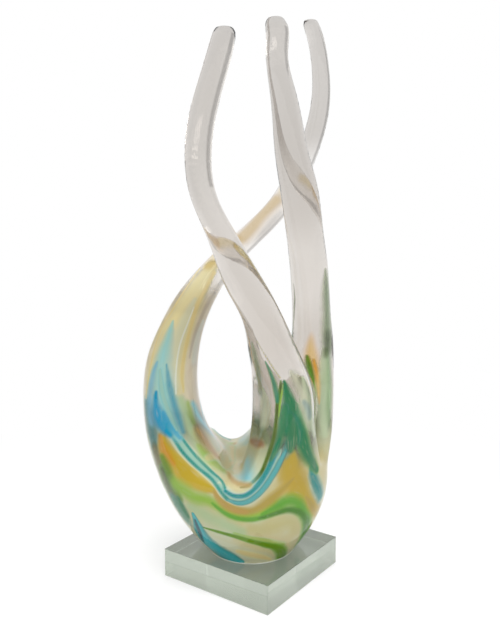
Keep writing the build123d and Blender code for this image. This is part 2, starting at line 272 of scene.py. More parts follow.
# Ribbons, each laid over those before it: name, middle and edge colour, softness of the edge, strength, and
# one or more runs of pixels of the photograph, each with the ribbon's half width there in pixels
RIBBONS = (
    ("ochre_veil", OCHRE, CREAM, 0.6, 0.85, (
        (211, 266, 10), (196, 290, 16), (182, 316, 21), (171, 342, 24), (164, 366, 26), (162, 390, 28),
        (165, 412, 28), (170, 430, 22))),
    ("rim_teal", TEAL, SEA, 1.0, 0.9, ((147, 405, 14), (149, 420, 16), (151.5, 434, 16), (154, 446, 12))),
    ("rim_bronze", BRONZE, OLIVE, 1.0, 0.9, ((155, 450, 12), (159.5, 463, 18), (163, 475, 16))),
    ("rim_green", OLIVE, GREEN, 1.0, 0.95, (
        (163.5, 472, 12), (167.5, 484, 20), (172, 495, 20), (177, 505, 14))),
    ("rim_jade", JADE, TEAL, 1.0, 0.95, ((174.5, 500, 12), (180, 510, 16), (186, 519, 12))),
    ("amber_left", AMBER, AMBER, 0.8, 1.0, (
        (162, 436, 5.5), (164, 447, 11), (171, 459, 15.4), (181, 470, 16.5), (192, 479, 14.3),
        (203, 486, 9.9), (213, 490, 4.4))),
    ("orange_left", ORANGE, AMBER, 1.4, 0.8, (
        (160, 436, 5.2), (163, 448, 10.4), (168, 457, 10.4), (174, 464, 5.2))),
    ("amber_right", AMBER, AMBER, 0.9, 1.0, (
        (292, 449, 4.4), (291, 460, 13.2), (291, 472, 20.9), (295, 484, 23.1), (302, 495, 18.7),
        (310, 505, 14.3), (317, 512, 11))),
    ("pale_left", PALE_GREEN, PALE_GREEN, 1.3, 0.75, (
        (190, 507, 9.6), (202, 513, 16.8), (215, 520, 15.6), (230, 527, 12), (243, 532, 9.6))),
    ("rim_olive", LEAF, GREEN, 1.2, 0.95, (
        (162, 457, 6), (167, 468, 9), (171.5, 480, 10), (176, 490, 10), (180.5, 499, 7))),
    ("beige_right", BEIGE, BEIGE, 1.3, 0.9, (
        (252, 529, 9.6), (272, 527, 13.2), (290, 522, 14.4), (297, 531, 10.8))),
    ("ivory", IVORY, CREAM, 1.3, 0.9, (
        (208, 536, 5), (222, 543, 9), (236, 548, 8)), (
        (195, 299, 4), (188, 314, 8), (180, 332, 12), (175, 350, 12), (173, 368, 11), (174, 386, 10))),
    ("lime", LIME, LIME, 1.2, 1.0, (
        (175, 484, 11), (183, 490, 14.3), (194, 497, 14.3), (206, 500, 11), (217, 505.5, 9.9),
        (228, 511.5, 11), (240, 516, 9.9), (252, 516, 9.9), (264, 512.5, 11), (276, 505, 13.2))),
    ("upper_green", GREEN, LIME, 1.2, 1.0, (
        (262, 514, 4), (276, 507, 10), (287, 501.5, 13), (296, 502.5, 13.5), (303, 510.5, 12),
        (307, 520.5, 13), (306, 531, 13), (302.5, 539.5, 12), (298, 546.5, 11))),
    ("green_edge", GREEN, GREEN, 1.0, 1.0, (
        (212, 503, 2), (219, 509, 3.1), (228, 515, 3.9), (240, 519, 4.2), (252, 519.5, 4.2),
        (264, 517, 4.4))),
    ("crest_edge", GRASS, GREEN, 1.1, 1.0, (
        (258, 518.5, 2), (268, 516, 4.4), (277, 513, 5), (287, 510, 6), (295, 510.5, 6.5), (301, 513.5, 7),
        (305.5, 520, 9), (306, 528, 11), (303.5, 535.5, 12), (299.5, 541.5, 11), (296, 546, 9))),
    ("honey_band", HONEY, AMBER, 1.2, 1.0, (
        (214, 491, 3.8), (221, 500, 6.7), (230, 507, 7.6), (242, 511, 7.6), (254, 510, 7.6),
        (265, 504, 8.5), (276, 495, 8.5), (286, 486, 6), (294, 478, 2)), (
        (306, 497, 3), (311, 505, 7), (314, 511, 5))),
    ("salmon_tip", SALMON, SALMON, 1.4, 0.8, (
        (215, 492, 3), (219, 499, 6), (225, 505.5, 7), (234, 510, 6), (246, 512, 4))),
    ("lower_haze", LIME, PALE_GREEN, 0.9, 0.6, (
        (234, 533, 3), (252, 538, 4), (268, 541, 5), (282, 545, 7))),
    ("lower_green", LEAF, GREEN, 0.8, 1.0, (
        (201, 526.5, 1.3), (217, 531.5, 2.6), (235, 536.5, 3.5), (252, 541.5, 4.2), (264, 544.5, 4.8),
        (275, 547, 6.6), (281, 551, 9.9), (281, 557, 9.9))),
    ("foot_blue", SURF, REEF, 0.5, 1.0, (
        (193, 514, 2.5), (197, 523, 6), (201, 533.5, 11), (207, 542, 14), (216, 549.5, 15), (228, 556, 12),
        (240, 561.5, 6))),
    ("foot_navy", NAVY, NAVY, 0.9, 0.9, ((195, 520, 2), (199, 531, 4), (203, 541, 3))),
    ("right_blue", REEF, SEA, 1.1, 1.0, (
        (311, 467, 4.4), (313, 476, 9), (316.5, 486, 12), (320.5, 496, 11))),
    ("right_green", FOREST, GREEN, 0.9, 1.0, (
        (290, 398, 5.2), (296, 411, 9), (300, 426, 12), (303, 440, 13), (307.5, 453, 12), (313, 463, 10),
        (317, 470, 6))),
    ("green_heart", FOREST, JADE, 1.0, 1.0, (
        (284, 381, 2.6), (286.5, 392, 8.4), (289, 404, 12.6), (289.5, 415, 13.7), (288, 425, 11.6),
        (287, 433, 6.3)), (
        (178, 498, 4.2), (183, 508, 7.4), (187.5, 516, 5.2))),
    ("heart_sea", SEA, FERN, 1.3, 0.85, ((290, 439, 4.8), (288, 446, 9.6), (284, 454, 8.4))),
    ("twin_left", PALE_SEA, IVORY, 0.35, 1.0, (
        (160, 411, 3), (165, 421, 6), (171, 431, 7.5), (180, 444, 8), (192, 457, 8), (204, 469, 7),
        (214, 479, 6), (219, 486, 5))),
    ("twin_right", PALE_SEA, IVORY, 0.4, 1.0, (
        (219, 486, 5), (226, 494, 7.5), (236, 499, 8), (247, 498.5, 8.5), (257, 491, 8.5), (266, 479, 8),
        (272.5, 467, 6), (278, 456, 3), (281, 449, 1))),
    ("twin_edges", FERN, SEA, 1.1, 1.0, (
        (164, 424, 3.2), (169, 430, 3), (181, 450, 3), (196, 466, 3), (210, 477.5, 3), (216, 484.5, 3),
        (221, 492, 3.2), (227, 499, 3.7)), (
        (181, 437, 2.5), (195, 455, 2.6), (210, 470, 2.6), (221, 480, 2.3), (225, 488, 2.5))),
    ("twin_inner_blue", REEF, BLUE, 0.9, 1.0, (
        (225, 491, 2.5), (234.5, 496, 3.2), (246, 495, 3.6), (256, 487, 3.8), (264.5, 475, 4),
        (272, 460, 4), (277, 447, 3), (280, 438, 1.5))),
    ("twin_outer_sea", SEA, TEAL, 0.7, 1.0, (
        (227, 499.5, 2), (237, 503, 3.2), (247, 502, 3.6), (258, 494.5, 3.8), (267, 484.5, 4),
        (275.5, 471, 4), (282, 458, 3.5), (286, 450, 2))),
    ("heart_left", FOREST, TEAL, 1.2, 0.95, (
        (284, 408, 6.9), (282.5, 420, 10), (281, 432, 11.5), (278, 443, 9), (274, 453, 6), (270, 461, 2.3)), (
        (290, 416, 6), (292, 426, 12), (291.5, 436, 14), (291, 445, 11), (290.5, 452, 3))),
    ("inner_face", IVORY, CREAM, 1.1, 0.95, (
        (262, 388, 5), (264.5, 398, 13), (265, 410, 17), (264, 422, 15), (261, 433, 9))),
    ("lip_olive", OLIVE, LEAF, 0.9, 1.0, (
        (281, 380, 1.4), (280.5, 388, 2.7), (277.5, 403, 3.1), (276, 421, 3.1), (274, 435.5, 3.1),
        (271, 446, 3.1), (268, 456, 3.1), (263, 469, 2.9), (257, 478, 2.7), (248, 485.5, 2.2),
        (240, 487.5, 1.1))),
    ("lip_lime", LIME, LEAF, 0.8, 1.0, ((283, 383, 1), (282, 393, 1.4), (280, 404, 1.4), (279, 418, 0.8))),
    ("lip_thread", STRAW, BRONZE, 0.8, 0.9, ((257, 341, 0.8), (268, 360, 1.2), (280, 378, 1.4))),
    ("lip_jade", JADE, GREEN, 1.0, 0.95, (
        (265, 361, 1), (269.5, 371, 3), (273.5, 382, 4.5), (276, 393, 4.5), (277, 402, 3))),
    ("limb_light", WHITE, PEARL, 0.9, 0.9, (
        (203, 322, 6), (198.5, 335, 9), (196, 348, 11), (194.5, 362, 11), (194.5, 374, 8))),
    ("inner_blush", PEARL, BLUSH, 0.9, 0.7, (
        (194, 372, 12), (193, 384, 15), (196, 400, 12), (202, 414, 8), (209, 425, 5))),
    ("inner_pale", PALE_GREEN, PALE_SEA, 1.4, 0.9, (
        (181, 400, 7.8), (185, 412, 11.7), (189, 424, 13), (195, 437, 11.7), (205, 452, 9.1))),
    ("inner_lime", LIME, PALE_GREEN, 1.4, 0.7, (
        (188, 403, 6.5), (191, 412, 10.4), (194, 422, 7.8)), (
        (199, 446, 6.5), (207, 455, 13), (216, 463, 13), (224, 470, 9.1))),
    ("inner_sky", ICE, SKY, 1.4, 0.95, (
        (193, 404, 7), (199, 416, 14), (206, 426, 14), (214, 435, 9)), (
        (246, 462, 12), (246, 471, 24), (246, 478, 16))),
    ("web_cream", CREAM, PALE_GREEN, 0.8, 0.8, (
        (208, 458, 6), (218, 456, 9), (227, 452, 9), (224, 466, 8), (233, 462, 5))),
    ("inner_amber", SALMON, GOLD, 1.4, 0.9, (
        (198, 430, 9.8), (204, 438, 19.6), (210, 447, 18.2), (217, 456, 11.2)), (
        (229, 473, 7), (233, 480, 9.8), (241, 484, 8.4), (249, 485, 5.6))),
    ("slit_brick", BRICK, GOLD, 1.3, 0.8, ((251, 441, 7.2), (256, 443, 10.8), (262, 444, 7.2))),
    ("inner_moss", MOSS, SAGE, 1.3, 0.8, (
        (252, 343, 2.4), (254.5, 354, 6), (257, 366, 8.4), (259, 380, 9.6), (260, 392, 8.4))),
    ("blue_flame_veil", SKY, AZURE, 1.3, 1.0, (
        (173, 321, 1.7), (168.5, 337, 7.5), (164, 352, 11.5), (161.5, 368, 14.9), (161.5, 384, 17.2),
        (163, 400, 19.5), (167, 416, 19.5), (173, 429, 13.8), (179, 438, 6.9))),
    ("blue_flame_left", AZURE, SEA, 1.4, 0.9, (
        (157, 362, 2.6), (152.5, 376, 7.8), (150, 392, 10.4), (149.5, 408, 11.7), (151, 422, 10.4))),
    ("blue_flame_deep", BLUE, LAGOON, 1.1, 1.0, (
        (156, 392, 3), (155.5, 402, 6), (156.5, 411, 11), (159, 419, 13), (163, 427, 10), (170, 435, 5))),
    ("blue_flame_mid", BLUE, SEA, 1.4, 0.8, (
        (163, 412, 3.9), (168, 421, 7.8), (174, 430, 6.5), (180, 438, 3.9))),
    ("blue_flame_light", PALE_SEA, SEA, 1.2, 0.8, (
        (160, 370, 2.6), (162, 391, 4.2), (166, 405, 4.2), (171, 418, 3.9), (177, 430, 2.6))),
    ("blue_flame_right", LAGOON, SEA, 1.4, 0.9, (
        (166.5, 364, 1.8), (169.5, 385, 5.4), (173.5, 402, 6.6), (178, 417, 6.6), (183, 432, 4.8))),
    ("straw", STRAW, OCHRE, 0.9, 0.9, (
        (200, 268, 2.2), (186, 288, 2.4), (173, 309, 2.7), (162, 327, 2.7), (154, 350, 2.7),
        (148.5, 378, 2.4), (146, 398, 2)), (
        (214, 272, 4), (206, 288, 4), (197.5, 304.5, 3.6), (192, 322, 3.6), (188, 338, 3.6),
        (184, 358, 3.6), (182, 376, 3.6), (183.5, 392, 2)), (
        (238, 551.5, 4), (250, 554.5, 5.5), (262, 557, 5), (270, 559, 3))),
    ("white_thread", WHITE, WHITE, 0.7, 0.95, (
        (194, 307, 0.8), (187, 325, 1.1), (180.5, 343, 1.2), (177, 361, 1.2), (175.5, 380, 1.2),
        (176, 394, 1)), (
        (307, 475, 0.6), (311, 487, 0.9), (316, 499, 0.7))),
    # Painted shade: the next ribbon is a faint grey strip on the left limb, where its glass darkens along the
    # edge.
    ("grey_strip", SHADE_GREY, SHADE_GREY, 1.3, 0.4, (
        (216, 291, 4), (209, 302, 4.5), (201, 318, 4.5), (196, 331, 4), (192, 345, 3), (189.5, 358, 2))),
    ("right_pale", PALE_LIME, PALE_GREEN, 1.2, 0.85, (
        (303, 378, 4), (304.5, 387, 9), (305.5, 395, 12), (307, 404, 14), (309, 414, 14), (312, 424, 12),
        (314.5, 434, 9))),
    ("right_mist", IVORY, PALE_LIME, 1.7, 0.9, (
        (291, 372, 4), (296, 379, 9), (300, 387, 11), (304, 397, 9))),
    ("right_slate", SLATE, SLATE, 1.2, 0.8, ((304, 402, 4), (308.5, 409, 7), (310, 417, 6))),
    ("right_edge", CREAM, CREAM, 0.7, 0.8, (
        (290, 334, 0.8), (298, 355, 1), (307, 380, 1), (314, 403, 1.2), (319, 430, 1.2), (323, 455, 1))),
    ("far_green", GREEN, LEAF, 1.2, 1.0, (
        (307, 356, 3), (309, 365, 8), (311.5, 375, 9), (314.5, 386, 7), (316, 396, 3))),
    # Painted reflection: the next ribbon is the green-grey strip down the right edge, where the clear glass
    # shows the green of the bowl below.
    ("far_sage", SAGE, SAGE, 1.3, 0.9, (
        (325.5, 270, 3.9), (326, 286, 9.1), (326.5, 305, 11.7), (326.5, 320, 11.7), (326.5, 340, 11.7))),
    ("far_pale", PALE_LIME, PALE_LIME, 0.9, 0.9, (
        (326, 350, 7), (325, 375, 11), (324.5, 395, 14), (324.5, 415, 14), (324.5, 432, 9))),
    ("far_amber", GOLD, GOLD, 1.2, 1.0, (
        (313.5, 360, 3), (316.5, 372, 4.5), (318, 385, 4.5), (318.7, 397, 3), (319, 404, 1.5))),
    # The first run of the next ribbon is painted reflection, the dark part of the green-grey strip down the
    # right edge; its other runs are moss-green streaks of the swirl.
    ("moss", MOSS, MOSS, 1.3, 0.8, (
        (326.5, 333, 7.2), (326.5, 345, 10.8), (326, 354, 7.2)), (
        (293.5, 283, 1.2), (294.5, 297, 2.4), (294, 310, 3), (293.5, 322, 2.4), (293, 330, 1.2)), (
        (259, 431, 7.2), (265, 434, 10.8), (267, 441, 7.2))),
)

# Stains in the clear glass of the arms, with painted shade and painted reflection along their edges: name,
# tone, and the pixels that they run through, given like the ribbons'. A fourth number says how many limbs
# stand in front there
STAIN_AND_LIGHT_CORE = 0.35
STAINS_AND_PAINTED_LIGHT = (
    ("far_ochre", (0.60, 0.42, 0.20), (
        (243, 237.5, 12), (252.5, 227.5, 12), (260.5, 218, 12), (269, 209, 12), (277, 200.5, 12))),
    ("lower_crossing", (0.84, 0.70, 0.38), (
        (209, 266, 11), (217, 257, 12, 1), (226, 249, 12, 1), (236, 242, 12, 1))),
    ("upper_crossing", (0.84, 0.70, 0.40), ((284, 191, 10, 1), (292, 181, 8, 1))),
    # Painted shade: the next two rows darken grey strips along the lower right edge of the far arm and the
    # right edge of the left arm.
    ("far_edge_painted_shade", (0.45, 0.44, 0.43), (
        (250, 245, 4), (257, 237.5, 6), (264, 230, 7), (272, 221, 7), (280, 212, 6))),
    ("left_edge_painted_shade", (0.48, 0.47, 0.47), (
        (208, 174, 2), (209, 183, 3.8), (213, 196, 4.5), (218, 208, 4.5), (227, 224, 3.5), (232, 236, 1.5))),
    ("far_glow", (1.0, 0.58, 0.14), (
        (312, 325, 2), (311.5, 336, 6), (311, 346, 9), (311.5, 357, 12), (314.5, 368, 9), (316, 380, 6))),
    # Painted reflection: the next two rows are the green-grey strip down the right edge, where the clear
    # glass shows the green of the bowl below.
    ("right_strip_painted_reflection", (0.50, 0.66, 0.50), (
        (326.5, 262, 3), (327.5, 275, 8), (328, 290, 11), (328.5, 305, 12), (329, 322, 12), (329, 336, 11),
        (328.5, 350, 9), (328.5, 375, 8), (328.5, 400, 8), (328, 425, 6))),
    ("right_strip_painted_reflection_dark", (0.32, 0.38, 0.24), ((328, 328, 4), (328, 338, 9), (327.5, 348, 9), (327, 354, 4))),
)


def to_frame(points):
    """Points in the drawn glass's axes, in millimetres, as points in the part's frame, in metres."""
    u, v, z = points[:, 0], points[:, 1], points[:, 2]
    x = u * cos(TURN) - v * sin(TURN)
    y = u * sin(TURN) + v * cos(TURN)
    return np.stack([x, y, z], axis=1) * MM


def from_frame(points):
    """The reverse of to_frame."""
    x, y, z = points[:, 0], points[:, 1], points[:, 2]
    u = x * cos(TURN) + y * sin(TURN)
    v = y * cos(TURN) - x * sin(TURN)
    return np.stack([u, v, z], axis=1) / MM


def smoothstep(low, high, value):
    share = np.clip((value - low) / (high - low), 0.0, 1.0)
    return share * share * (3.0 - 2.0 * share)


# Level sections of the solids


def node_mesh(name):
    """Corner points and triangles of a CAD node, in the drawn glass's axes."""
    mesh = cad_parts[name].data
    points = np.zeros(len(mesh.vertices) * 3)
    mesh.vertices.foreach_get("co", points)
    mesh.calc_loop_triangles()
    triangles = np.zeros(len(mesh.loop_triangles) * 3, dtype=np.int32)
    mesh.loop_triangles.foreach_get("vertices", triangles)
    return from_frame(points.reshape(-1, 3)), triangles.reshape(-1, 3)


def level_centre(points, triangles, height):
    """Middle of the span that the node's level section covers."""
    corners = points[triangles]
    above = corners[:, :, 2] > height
    crossed = corners[above.any(axis=1) & ~above.all(axis=1)]
    crossings = []
    for first, second in ((0, 1), (1, 2), (2, 0)):
        a, b = crossed[:, first], crossed[:, second]
        cut = (a[:, 2] > height) != (b[:, 2] > height)
        share = (height - a[cut, 2]) / (b[cut, 2] - a[cut, 2])
        crossings.append(a[cut, :2] + share[:, None] * (b[cut, :2] - a[cut, :2]))
    crossings = np.concatenate(crossings)
    return (crossings.min(axis=0) + crossings.max(axis=0)) / 2.0


def level_sections(name, heights):
    """Centres and outer radii, all round, of a node's level sections. Heights past its ends repeat the
    section there."""
    points, triangles = node_mesh(name)
    tree = BVHTree.FromPolygons(points.tolist(), triangles.tolist())
    angles = np.arange(RAYS) * 2.0 * pi / RAYS
    low, high = points[:, 2].min() + END_GAP, points[:, 2].max() - END_GAP
    centres = np.zeros((len(heights), 2))
    radii = np.zeros((len(heights), RAYS))
    for row, height in enumerate(heights):
        level = float(np.clip(height, low, high))
        centre = level_centre(points, triangles, level)
        centres[row] = centre
        for column, angle in enumerate(angles):
            away = Vector((cos(angle), sin(angle), 0.0))
            start = Vector((centre[0], centre[1], level)) + away * RAY_REACH
            hit = tree.ray_cast(start, -away)[0]
            radii[row, column] = (hit - Vector((centre[0], centre[1], level))).dot(away) if hit else 0.0
    return centres, radii


def smooth_rows(values, passes):
    """Evens out a profile along its length, ends kept."""
    values = values.copy()
    for _ in range(passes):
        values[1:-1] = (values[:-2] + 2.0 * values[1:-1] + values[2:]) / 4.0
    return values


def smooth_round(radii, passes):
    """Evens out a profile all round."""
    for _ in range(passes):
        radii = (np.roll(radii, 1, axis=1) + 2.0 * radii + np.roll(radii, -1, axis=1)) / 4.0
    return radii


# Skin


def section_field(u, v, centre, radii):
    """Distance outside a level section, negative within it."""
    du, dv = u - centre[0], v - centre[1]
    turn = np.mod(np.arctan2(dv, du), 2.0 * pi) * RAYS / (2.0 * pi)
    low = np.floor(turn).astype(int)
    share = turn - low
    edge = radii[low % RAYS] * (1.0 - share) + radii[(low + 1) % RAYS] * share
    return np.hypot(du, dv) - edge


def blur(field, width):
    """Gaussian blur along all three axes."""
    reach = int(BLUR_REACH * width) + 1
    weights = np.exp(-0.5 * (np.arange(-reach, reach + 1) / width) ** 2)
    weights /= weights.sum()
    for axis in range(3):
        padding = [(0, 0)] * 3
        padding[axis] = (reach, reach)
        padded = np.pad(field, padding, mode="edge")
        total = np.zeros_like(field)
        for step, weight in enumerate(weights):
            part = [slice(None)] * 3
            part[axis] = slice(step, step + field.shape[axis])
            total += weight * padded[tuple(part)]
        field = total
    return field


def slit_floor(grid_u, grid_v):
    """How far the floor of the slits stands above the bowl's rim."""
    rise = np.zeros_like(grid_u)
    for across, along, (middle, stretch) in ((grid_u, grid_v, BACK_SLIT), (grid_v, grid_u, RIGHT_SLIT)):
        hollow = np.minimum((across - middle) ** 2 / SLIT_HOLLOW, SLIT_LIMIT - SLIT_RISE)
        rise = np.maximum(rise, smoothstep(*stretch, along) * (SLIT_RISE + hollow))
    return rise


def skin_field():
    """Grid axes and a field that is negative inside the fused glass."""
    bowl_points, _ = node_mesh("bowl_casing")
    rim = bowl_points[:, 2].max()
    everything = np.concatenate([node_mesh(name)[0] for name in ARMS] + [bowl_points])
    low = everything.min(axis=0) - GRID_MARGIN * GRID
    high = everything.max(axis=0) + GRID_MARGIN * GRID
    axes = [np.arange(low[axis], high[axis], GRID) for axis in range(3)]
    grid_u, grid_v = np.meshgrid(axes[0], axes[1], indexing="ij")
    field = np.full((len(axes[0]), len(axes[1]), len(axes[2])), FIELD_LIMIT)
    heights = axes[2]
    for name in ("bowl_casing",) + ARMS:
        points, _ = node_mesh(name)
        start, end = points[:, 2].min(), points[:, 2].max()
        own = np.where((heights > start - FIELD_LIMIT) & (heights < end + FIELD_LIMIT))[0]
        centres, radii = level_sections(name, heights[own])
        centres = smooth_rows(centres, LENGTH_PASSES)
        radii = smooth_round(smooth_rows(radii, LENGTH_PASSES), ROUND_PASSES)
        for row, level in enumerate(own):
            layer = section_field(grid_u, grid_v, centres[row], radii[row])
            if name == "bowl_casing" and heights[level] > rim:
                continue
            if name in ARMS and heights[level] < rim:
                continue
            past_end = max(start - heights[level], heights[level] - end)
            if past_end > 0.0:
                layer = np.maximum(layer, past_end)
            field[:, :, level] = np.minimum(field[:, :, level], layer)
    rim_level = int(np.searchsorted(heights, rim)) - 1
    centres, radii = level_sections("bowl_casing", heights[rim_level : rim_level + 1])
    bowl = section_field(grid_u, grid_v, centres[0], radii[0])
    rise = slit_floor(grid_u, grid_v)
    for level in np.where((heights > rim) & (heights < rim + SLIT_LIMIT))[0]:
        above = heights[level] - rim
        fill = np.maximum(bowl + WEB_LEAN * above, above - rise)
        field[:, :, level] = np.minimum(field[:, :, level], fill)
    field = np.clip(field, -FIELD_LIMIT, FIELD_LIMIT)
    soft = blur(field, BLEND_WIDTH / GRID)
    share = smoothstep(*BLEND_LOW, heights) * (1.0 - smoothstep(*BLEND_HIGH, heights))
    field = field + (soft - field) * share
    for side, swell, start, end in SWELLS:
        flank = smoothstep(*SWELL_SIDE, side * grid_u)[:, :, None]
        field = field - swell * flank * smoothstep(*start, heights) * (1.0 - smoothstep(*end, heights))
    return axes, field


def surface_nets(axes, field):
    """Quad mesh of the field's zero surface: one point in each cell that it crosses."""
    inside = field < 0.0
    cells = tuple(size - 1 for size in field.shape)
    total = np.zeros(cells + (3,))
    count = np.zeros(cells)
    corner_steps = [(i, j, k) for i in (0, 1) for j in (0, 1) for k in (0, 1)]

    def corner(values, step):
        return values[tuple(slice(s, s + n) for s, n in zip(step, cells))]

    for step in corner_steps:
        for axis in range(3):
            if step[axis]:
                continue
            other = tuple(s + (1 if index == axis else 0) for index, s in enumerate(step))
            a, b = corner(field, step), corner(field, other)
            crossed = (a < 0.0) != (b < 0.0)
            share = np.where(crossed, a / np.where(crossed, a - b, 1.0), 0.0)
            for index in range(3):
                place = share if index == axis else float(step[index])
                total[..., index] += np.where(crossed, place, 0.0)
            count += crossed
    used = count > 0
    number = np.full(cells, -1)
    number[used] = np.arange(used.sum())
    spots = np.argwhere(used) + total[used] / count[used][:, None]
    points = np.stack([axes[axis][0] + GRID * spots[:, axis] for axis in range(3)], axis=1)
    quads = []
    for axis in range(3):
        first, second = [a for a in range(3) if a != axis]
        along = [slice(None)] * 3
        ahead = [slice(None)] * 3
        along[axis], ahead[axis] = slice(0, -1), slice(1, None)
        crossed = inside[tuple(along)] != inside[tuple(ahead)]
        edges = np.argwhere(crossed)
        keep = np.ones(len(edges), bool)
        for side in (first, second):
            keep &= (edges[:, side] > 0) & (edges[:, side] < cells[side])
        edges = edges[keep]
        ring = []
        for back_first, back_second in ((0, 0), (1, 0), (1, 1), (0, 1)):
            spot = edges.copy()
            spot[:, first] -= back_first
            spot[:, second] -= back_second
            ring.append(number[tuple(spot.T)])
        ring = np.stack(ring, axis=1)
        leaving = inside[tuple(edges.T)]
        flip = leaving if axis == 1 else ~leaving
        ring[flip] = ring[flip][:, ::-1]
        quads.append(ring)
    return points, np.concatenate(quads)


def relax(points, quads, passes, strength):
    """Evens out a mesh without shrinking it: each smoothing step is followed by a slightly larger reverse
    one."""
    first = np.concatenate([quads[:, side] for side in range(4)])
    second = np.concatenate([quads[:, (side + 1) % 4] for side in range(4)])
    ends = np.concatenate([first, second])
    others = np.concatenate([second, first])
    degree = np.bincount(ends, minlength=len(points))[:, None]
    for turn in range(2 * passes):
        step = strength if turn % 2 == 0 else -RELAX_REVERSE * strength
        mean = np.stack([np.bincount(ends, points[others, axis], len(points)) for axis in range(3)], axis=1)
        points = points + step * (mean / degree - points)
    return points


def point_normals(points, quads):
    """Unit normals of a quad mesh at its points."""
    across = np.cross(points[quads[:, 2]] - points[quads[:, 0]], points[quads[:, 3]] - points[quads[:, 1]])
    normals = np.zeros_like(points)
    for side in range(4):
        for axis in range(3):
            normals[:, axis] += np.bincount(quads[:, side], across[:, axis], len(points))
    return normals / np.linalg.norm(normals, axis=1)[:, None]


def mesh_piece(name, points, faces):
    """A smooth-shaded mesh object in the part's frame."""
    mesh = bpy.data.meshes.new(name)
    mesh.from_pydata(to_frame(points).tolist(), [], faces.tolist())
    mesh.shade_smooth()
    piece = bpy.data.objects.new(name, mesh)
    bpy.context.scene.collection.objects.link(piece)
    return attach(piece, "root")


def point_values(piece, name, values, kind="FLOAT", field="value"):
    """Stores values at a mesh's points, for its material."""
    attribute = piece.data.attributes.new(name, kind, "POINT")
    attribute.data.foreach_set(field, np.ascontiguousarray(values, dtype=np.float32).ravel())


axes, field = skin_field()
skin_points, skin_quads = surface_nets(axes, field)
skin_points = relax(skin_points, skin_quads, RELAX_PASSES, RELAX_STRENGTH)
foot = node_mesh("bowl_casing")[0][:, 2].min()
skin_points[:, 2] = np.maximum(skin_points[:, 2], foot)
skin_normals = point_normals(skin_points, skin_quads)
along, depth, height = skin_points.T
skin = mesh_piece("fused_glass", skin_points, skin_quads)
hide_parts("bowl_casing", "bowl_core", *ARMS)

crossing = smoothstep(*CROSSING_DEPTH, depth) * smoothstep(*CROSSING_START, height)
crossing *= 1.0 - smoothstep(*CROSSING_END, height)
point_values(skin, "crossing", crossing)

# Colour layer under the skin, and the lines that the camera of the photograph sees on it

layer_points = skin_points - LAYER_DEPTH * skin_normals
near_foot = smoothstep(*FOOT_RISE, height - foot)
layer_points[:, 2] = height + near_foot * (layer_points[:, 2] - height)
layer_points[:, 2] = np.maximum(layer_points[:, 2], foot + FOOT_GAP)
skin_tree = BVHTree.FromPolygons(skin_points.tolist(), skin_quads.tolist())


def seen(x, y, limbs):
    """The point of the colour layer that the camera sees at a pixel of the photograph, through the casing and
    past this many limbs in front of it."""
    right, up, ahead = (x - PHOTO_CENTRE[0]), (PHOTO_CENTRE[1] - y), FOCAL_PIXELS
    way = Vector((
        right,
        ahead * cos(CAMERA_PITCH) + up * sin(CAMERA_PITCH),
        up * cos(CAMERA_PITCH) - ahead * sin(CAMERA_PITCH),
    )).normalized()
    start = Vector(CAMERA_SPOT)
    for _ in range(2 * limbs + 1):
        hit, normal, _, _ = skin_tree.ray_cast(start, way)
        if hit is None:
            return None
        start = hit + way * PAST_SKIN
    slant = way + normal * -way.dot(normal)
    bent = slant / GLASS_IOR
    deep = max(1.0 - bent.length_squared, LEAST_COSINE_SQUARED) ** 0.5
    return np.array(hit + LAYER_DEPTH * (bent / deep - normal))


def ribbon_line(path):
    """Points and half widths along a smooth curve through a ribbon's seen points."""
    knots = []
    for x, y, half_width, *limbs in path:
        spot = seen(x, y, sum(limbs))
        if spot is not None:
            knots.append(np.append(spot, half_width * PIXEL))
    knots = np.array(knots)
    knots = np.concatenate([2.0 * knots[:1] - knots[1:2], knots, 2.0 * knots[-1:] - knots[-2:-1]])
    line = []
    for first in range(len(knots) - 3):
        a, b, c, d = knots[first : first + 4]
        for step in range(RIBBON_STEPS):
            t = step / RIBBON_STEPS
            line.append(0.5 * (
                2.0 * b + (c - a) * t + (2.0 * a - 5.0 * b + 4.0 * c - d) * t**2
                + (3.0 * b - a - 3.0 * c + d) * t**3
            ))
    line.append(knots[-2])
    line = np.array(line)
    line[:, 3] = np.maximum(line[:, 3], THINNEST)
    return line


def ribbon_reach(points, line):
    """Distance of each point from a ribbon's middle line, in half widths of the ribbon."""
    best = np.full(len(points), FAR)
    low = line[:, :3].min(axis=0) - SEARCH_BOX
    high = line[:, :3].max(axis=0) + SEARCH_BOX
    near = np.all((points > low) & (points < high), axis=1)
    close = points[near]
    reach = best[near]
    for start, end in zip(line[:-1], line[1:]):
        span = end[:3] - start[:3]
        share = np.clip((close - start[:3]) @ span / max(span @ span, TINY), 0.0, 1.0)
        gap = np.linalg.norm(close - start[:3] - share[:, None] * span, axis=1)
        reach = np.minimum(reach, gap / (start[3] + share * (end[3] - start[3])))
    best[near] = reach
    return best


def wave(place, swing, length, start):
    return swing * np.sin(place / length + start)


# Stains, painted shade and painted reflection in the skin

stain_and_light_tone = np.ones((len(skin_points), 4))
for _, tone, path in STAINS_AND_PAINTED_LIGHT:
    share = 1.0 - smoothstep(STAIN_AND_LIGHT_CORE, 1.0, ribbon_reach(skin_points, ribbon_line(path)))
    stain_and_light_tone[:, :3] *= 1.0 + (np.array(tone) - 1.0) * share[:, None]
point_values(skin, "stain_and_painted_light", stain_and_light_tone, "FLOAT_COLOR", "color")

# Ribbons. The unseen far side repeats those of the near side, bent so that the two don't mirror exactly

